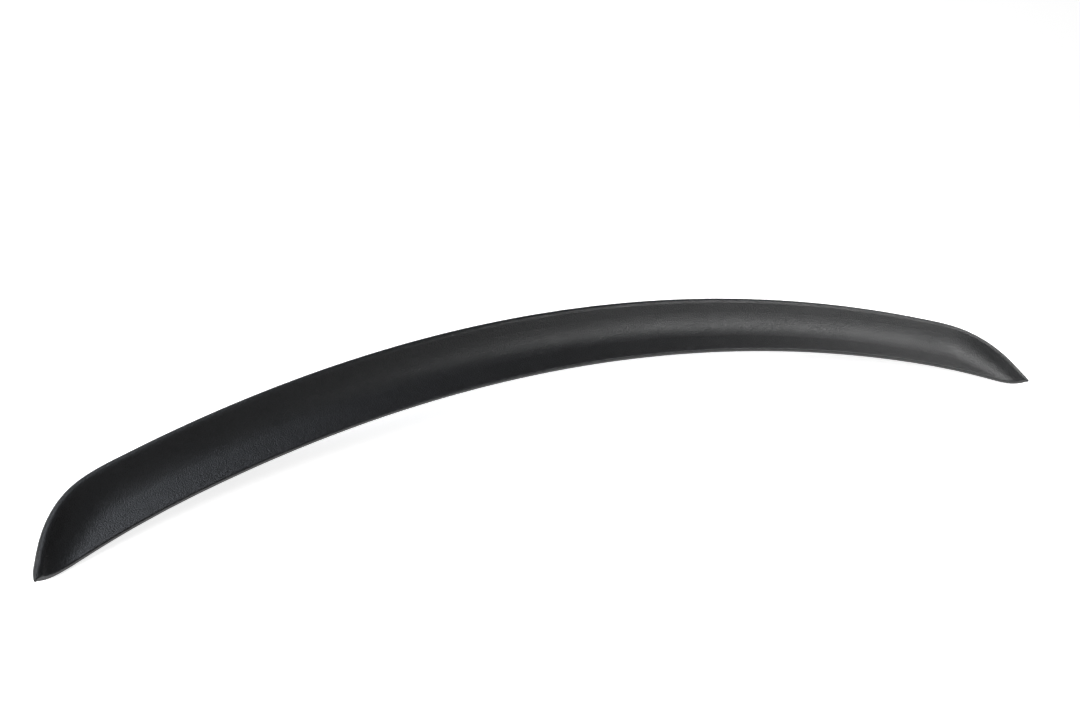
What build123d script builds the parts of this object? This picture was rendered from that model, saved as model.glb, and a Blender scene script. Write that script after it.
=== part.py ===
"""Boot-lid lip spoiler: one sheet of ABS, formed oversize over a mould and then trimmed."""
import os
from math import asin, cos, degrees, radians, sin, sqrt, tan

from build123d import *

# Overall size, in millimetres and degrees: X runs across the car, Y to the rear, Z up
span = 1202.0
chord = 67.0
plan_radius = 1960.0
lid_arch_radius = 2783.0

# Sheet section: a bonded land, a concave bend, a ramp, a rolled rim and a rear flange
sheet = 4.0
bond_strip = 24.0
lip_apex = 34.5
ramp_angle = 50.0
bend_radius = 35.0
rim_radius = 5.0
flange_draft = 3.0
edge_round = 1.5

# Ends: the lip turns forward round a corner, drops and runs out to a point
corner_length = 82.0
corner_radius = 100.0
corner_turn = 41.0
tip_apex = 21.0
tip_fade = 90.0
tip_edge = 3.5
tip_hook = 7.6
tip_hook_length = 160.0

# Forming: sheet left past the trim lines, and the spacing of the sections that shape the mould
trim_margin = 8.0
section_spacing = 24.0


def arc_drop(radius, distance):
    """How far an arc falls away at a distance from its middle."""
    return radius - sqrt(radius**2 - distance**2)


def lid_height(x):
    """Height of the boot lid's arched surface, zero at mid-span."""
    return -arc_drop(lid_arch_radius, x)


def lead_edge(x):
    """Y of the leading edge, half a bond strip ahead of the origin at mid-span."""
    return -bond_strip / 2 - arc_drop(plan_radius, x)


def apex_height(run):
    """Height of the lip's sharp corner above the lid, at a run along the lip from the tip."""
    fade = max(0.0, 1 - run / tip_fade)
    return lip_apex - (lip_apex - tip_apex) * fade**2


def ramp_room(apex):
    """Length of the ramp that is left below the rim's roll."""
    roll = rim_radius * tan(radians(90 + ramp_angle - flange_draft) / 2)
    return (apex - sheet) / sin(radians(ramp_angle)) - roll


# The lip in plan, from one section past mid-span to the right tip and a straight run-out
tip = Vector(span / 2, lead_edge(span / 2) - tip_hook)
corner_angle = degrees(asin((span / 2 - corner_length) / plan_radius))
overlap_angle = degrees(section_spacing / plan_radius)
lip_centre = (0, lead_edge(0) + chord - plan_radius)
with BuildLine() as lip:
    long_arc = CenterArc(lip_centre, plan_radius, 90 + overlap_angle, -corner_angle - overlap_angle)
    corner = JernArc(long_arc @ 1, long_arc % 1, corner_radius, -corner_turn)
    end_arc = TangentArc(corner @ 1, tip, tangent=corner % 1)
    run_out = Line(tip, tip + (end_arc % 1) * trim_margin)

lip_line = lip.wire()
tip_distance = lip_line.length - trim_margin
sections = round(lip_line.length / section_spacing)

with BuildPart() as spoiler:
    # The sheet's section at even steps, thickened downwards and lofted along the lip:
    # the mould's edge is crisp, so only the outside of the rim is rolled
    for section in range(sections + 1):
        share = section / sections
        place = lip_line.position_at(share)
        along = lip_line.tangent_at(share)
        inward = Vector(along.Y, -along.X, 0)
        apex = apex_height(tip_distance - share * lip_line.length)
        bend = bend_radius * ramp_room(apex) / ramp_room(lip_apex)
        ramp_foot = (apex - sheet) / tan(radians(ramp_angle))
        flange_foot = -apex * tan(radians(flange_draft))
        profile = [(chord + trim_margin, sheet), (ramp_foot, sheet), (0, apex), (flange_foot, 0)]
        corners = [(run, rise + lid_height((place + inward * run).X)) for run, rise in profile]
        with BuildSketch(Plane(place, x_dir=inward, z_dir=inward.cross(Vector(0, 0, 1)))):
            with BuildLine():
                FilletPolyline(corners, radius=[bend, 0])
                offset(amount=sheet, side=Side.LEFT)
            make_face()
            fillet(vertices().sort_by_distance(corners[2])[0], radius=rim_radius)
    loft()
    split(bisect_by=Plane.YZ, keep=Keep.TOP)

    # The leading edge is cut along its arc, which hooks forward to meet the lip at the tip
    hook_angle = degrees(asin((span / 2 - tip_hook_length) / plan_radius))
    floor = 2 * lid_height(span / 2)
    with BuildSketch(Plane.XY.offset(floor)):
        with BuildLine():
            cut = CenterArc((0, lead_edge(0) - plan_radius), plan_radius, 90, -hook_angle)
            hook = TangentArc(cut @ 1, tip, tangent=cut % 1)
            past = Line(tip, tip + (hook % 1) * 2 * trim_margin)
            Polyline(past @ 1, ((past @ 1).X, tip.Y - chord), (0, tip.Y - chord), cut @ 0)
        make_face()
    extrude(amount=lip_apex - floor, mode=Mode.SUBTRACT)

    # The cut edge is rounded over on top
    cut_face = faces().filter_by(GeomType.CYLINDER).sort_by(SortBy.AREA)[-1]
    fillet(cut_face.edges().sort_by(SortBy.LENGTH)[-2:].sort_by(Axis.Z)[-1], radius=edge_round)

    # The rear flange is cut away under the tip, along the back of the ramp, to a thin edge
    outward = Vector(-(end_arc % 1).Y, (end_arc % 1).X, 0)
    away = outward * sin(radians(ramp_angle)) - Vector(0, 0, cos(radians(ramp_angle)))
    ramp_back = lid_height(tip.X) + tip_apex - tip_edge / cos(radians(ramp_angle))
    split(bisect_by=Plane((tip.X, tip.Y, ramp_back), z_dir=away), keep=Keep.BOTTOM)

    # The left half mirrors the right
    mirror(about=Plane.YZ)

os.makedirs("parts", exist_ok=True)
spoiler.part.label = "spoiler_shell"
export_step(spoiler.part, "parts/spoiler_shell.step")
print("size", spoiler.part.bounding_box().size, "volume", spoiler.part.volume)
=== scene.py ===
from math import radians

import bpy
from mathutils import Matrix, Vector


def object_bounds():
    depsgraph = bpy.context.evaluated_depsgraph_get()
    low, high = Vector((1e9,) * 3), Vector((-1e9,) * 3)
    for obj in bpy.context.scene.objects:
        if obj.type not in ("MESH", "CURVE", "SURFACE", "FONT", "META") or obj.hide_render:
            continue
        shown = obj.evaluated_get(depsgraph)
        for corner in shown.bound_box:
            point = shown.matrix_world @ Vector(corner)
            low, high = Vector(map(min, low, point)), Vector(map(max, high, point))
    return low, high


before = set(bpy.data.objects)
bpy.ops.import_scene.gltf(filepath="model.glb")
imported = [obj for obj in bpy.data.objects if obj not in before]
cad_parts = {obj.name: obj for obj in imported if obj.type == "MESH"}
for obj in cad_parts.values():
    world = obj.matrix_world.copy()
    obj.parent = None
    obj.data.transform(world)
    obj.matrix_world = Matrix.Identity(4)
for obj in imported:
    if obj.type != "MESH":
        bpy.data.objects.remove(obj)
cad_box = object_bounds()
scene = bpy.context.scene


# Formed shell
# One sheet of black ABS, heated, drawn over a mould and trimmed along its leading edge.
# It is bonded to the boot lid by the land under that edge, and it keeps its CAD shape.
def linear(hex_colour):
    """An sRGB hex colour as linear RGBA."""
    channels = [int(hex_colour[i : i + 2], 16) / 255 for i in (1, 3, 5)]
    return [c / 12.92 if c <= 0.04045 else ((c + 0.055) / 1.055) ** 2.4 for c in channels] + [1.0]


def add(tree, kind, inputs, **settings):
    """Adds a node with its settings, and links or sets its inputs."""
    node = tree.nodes.new(kind)
    for name, value in settings.items():
        setattr(node, name, value)
    for name, value in inputs.items():
        if isinstance(value, bpy.types.NodeSocket):
            tree.links.new(value, node.inputs[name])
        else:
            node.inputs[name].default_value = value
    return node


# Grained ABS: the sheet is rolled with a fine pebble grain on its outer face, so it is satin,
# and glints break up into specks. Faces turned down are smoother, with little of the grain.
# A real pebble is about half a millimetre across, and is drawn more than twice as coarse to show.
pebble = 0.0012
pebble_height = 0.0003
pebble_roundness = 0.5
pebble_top = "#1b1c1e"
pebble_valley_shade = "#131415"
grain_drift = 0.006
under_grain = 0.1
under_blend = 0.03
patch = 0.05
patch_low = 0.3
patch_high = 0.7
satin_low = 0.4
satin_high = 0.46
grained_abs = bpy.data.materials.new("grained_black_abs")
grained_abs.use_nodes = True
tree = grained_abs.node_tree
tree.nodes.clear()
place = add(tree, "ShaderNodeTexCoord", {}).outputs["Object"]
drift = add(tree, "ShaderNodeTexNoise", {"Vector": place, "Scale": 1 / grain_drift, "Detail": 2.0})
bent = add(
    tree,
    "ShaderNodeVectorMath",
    {0: drift.outputs["Color"], 1: (pebble, pebble, pebble), 2: place},
    operation="MULTIPLY_ADD",
)
pebbles = add(
    tree,
    "ShaderNodeTexVoronoi",
    {"Vector": bent.outputs["Vector"], "Scale": 1 / pebble, "Smoothness": pebble_roundness},
    feature="SMOOTH_F1",
)
patches = add(tree, "ShaderNodeTexNoise", {"Vector": place, "Scale": 1 / patch, "Detail": 3.0})
normal = add(tree, "ShaderNodeNewGeometry", {}).outputs["Normal"]
facing = add(tree, "ShaderNodeSeparateXYZ", {"Vector": normal})
grain_strength = add(
    tree,
    "ShaderNodeMapRange",
    {
        "Value": facing.outputs["Z"],
        "From Min": -under_blend,
        "From Max": under_blend,
        "To Min": under_grain,
        "To Max": 1.0,
    },
)
grain = add(
    tree,
    "ShaderNodeBump",
    {
        "Strength": grain_strength.outputs["Result"],
        "Distance": pebble_height,
        "Height": pebbles.outputs["Distance"],
    },
    invert=True,
)
# Painted shade: the base colour is painted darker down in the pebbles' valleys, as the shade that falls in
# them, and stays lighter on their tops.
painted_valley_shade = add(tree, "ShaderNodeValToRGB", {"Fac": pebbles.outputs["Distance"]})
painted_valley_shade.color_ramp.elements[0].color = linear(pebble_top)
painted_valley_shade.color_ramp.elements[1].color = linear(pebble_valley_shade)
satin = add(
    tree,
    "ShaderNodeMapRange",
    {
        "Value": patches.outputs["Fac"],
        "From Min": patch_low,
        "From Max": patch_high,
        "To Min": satin_low,
        "To Max": satin_high,
    },
)
abs_shader = add(
    tree,
    "ShaderNodeBsdfPrincipled",
    {
        "Base Color": painted_valley_shade.outputs["Color"],
        "Roughness": satin.outputs["Result"],
        "IOR": 1.53,
        "Normal": grain.outputs["Normal"],
    },
)
add(tree, "ShaderNodeOutputMaterial", {"Surface": abs_shader.outputs["BSDF"]})
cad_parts["spoiler_shell"].material_slots[0].material = grained_abs


# Floor
# A wide sheet of white paper, laid flat, that the shell rests on.
# It runs far past the shell, so that no edge of it shows in low views.
floor_half = 40.0
floor_height = cad_box[0].z
floor_corners = [(-1, -1), (1, -1), (1, 1), (-1, 1)]
floor_points = [(x * floor_half, y * floor_half, floor_height) for x, y in floor_corners]
floor_mesh = bpy.data.meshes.new("floor")
floor_mesh.from_pydata(floor_points, [], [(0, 1, 2, 3)])
floor = bpy.data.objects.new("floor", floor_mesh)
scene.collection.objects.link(floor)

# Matt white paper: it has no gloss. Where it is seen, straight or mirrored, it is lifted nearly to
# white, so that it still shows the shell's soft shadow.
white_lift = 0.8
white = "#ffffff"
paper = bpy.data.materials.new("matt_white_paper")
paper.use_nodes = True
tree = paper.node_tree
tree.nodes.clear()
ray = add(tree, "ShaderNodeLightPath", {})
seen = add(
    tree,
    "ShaderNodeMath",
    {0: ray.outputs["Is Camera Ray"], 1: ray.outputs["Is Glossy Ray"]},
    operation="MAXIMUM",
)
shown = add(
    tree,
    "ShaderNodeMath",
    {0: seen.outputs["Value"], 1: ray.outputs["Is Transmission Ray"]},
    operation="MAXIMUM",
)
lift = add(tree, "ShaderNodeMath", {0: shown.outputs["Value"], 1: white_lift}, operation="MULTIPLY")
paper_shader = add(
    tree,
    "ShaderNodeBsdfPrincipled",
    {
        "Base Color": linear("#f4f4f4"),
        "Roughness": 0.9,
        "Emission Color": linear(white),
        "Emission Strength": lift.outputs["Value"],
    },
)
add(tree, "ShaderNodeOutputMaterial", {"Surface": paper_shader.outputs["BSDF"]})
floor_mesh.materials.append(paper)


# Studio light
# Soft boxes with grids: a high one behind the left end, one over the right half, one in front of
# its ramp and two small ones on the right tip. A broad bare fill from the left lights the sheet's
# own colour without a glint.
def soft_box(name, place, aim, width, height, power, grid, colour):
    """A rectangular lamp at a place, turned to a point, behind a grid that narrows its beam."""
    lamp = bpy.data.lights.new(name, "AREA")
    lamp.shape = "RECTANGLE"
    lamp.size = width
    lamp.size_y = height
    lamp.energy = power
    lamp.spread = radians(grid)
    lamp.color = linear(colour)[:3]
    box = bpy.data.objects.new(name, lamp)
    box.location = place
    box.rotation_euler = (Vector(aim) - Vector(place)).to_track_quat("-Z", "Y").to_euler()
    scene.collection.objects.link(box)


cool_white = "#eef4ff"
no_grid = 180
left_end = (-0.56, -0.05, 0)
middle = (0, 0, 0)
right_half = (0.42, 0, 0)
right_ramp = (0.45, 0, 0)
right_tip = (0.57, -0.1, 0)
room_light = 0.06
soft_box(
    "rear_box", (-1.27, 1.18, 1.88), left_end, width=1.1, height=1.9, power=2.3, grid=40, colour=cool_white
)
soft_box(
    "right_box", (0.95, -0.12, 0.8), right_half, width=0.5, height=0.9, power=0.76, grid=38, colour=white
)
soft_box(
    "front_box", (1.3, -1.05, 0.75), right_ramp, width=0.8, height=0.8, power=0.5, grid=46, colour=white
)
soft_box(
    "tip_box", (1.15, 0.2, 0.62), right_tip, width=0.4, height=0.4, power=0.12, grid=34, colour=white
)
soft_box(
    "corner_box", (0.66, -1.0, 0.85), right_tip, width=0.35, height=0.35, power=0.055, grid=30, colour=white
)
soft_box(
    "left_fill", (-2.9, -0.6, 1.6), middle, width=2.0, height=1.6, power=110, grid=no_grid, colour=white
)
world = bpy.data.worlds.new("studio")
scene.world = world
world.use_nodes = True
world.node_tree.nodes["Background"].inputs["Color"].default_value = linear(white)
world.node_tree.nodes["Background"].inputs["Strength"].default_value = room_light


# Camera
# Above and ahead of the left end, looking back along the lip, as the photograph was taken.
# Its place and its three axes were worked out from the shell's outline.
camera_place = (-0.7868, -1.0085, 1.0113)
camera_right = (0.8773, -0.4327, 0.2077)
camera_up = (0.1403, 0.6451, 0.7511)
camera_back = (-0.4590, -0.6298, 0.6267)
camera_turn = Matrix((camera_right, camera_up, camera_back)).transposed().to_4x4()
lens = bpy.data.cameras.new("camera")
lens.lens = 50
lens.sensor_width = 36
camera = bpy.data.objects.new("camera", lens)
camera.matrix_world = Matrix.Translation(camera_place) @ camera_turn
scene.collection.objects.link(camera)
scene.camera = camera
scene.view_settings.view_transform = "Standard"
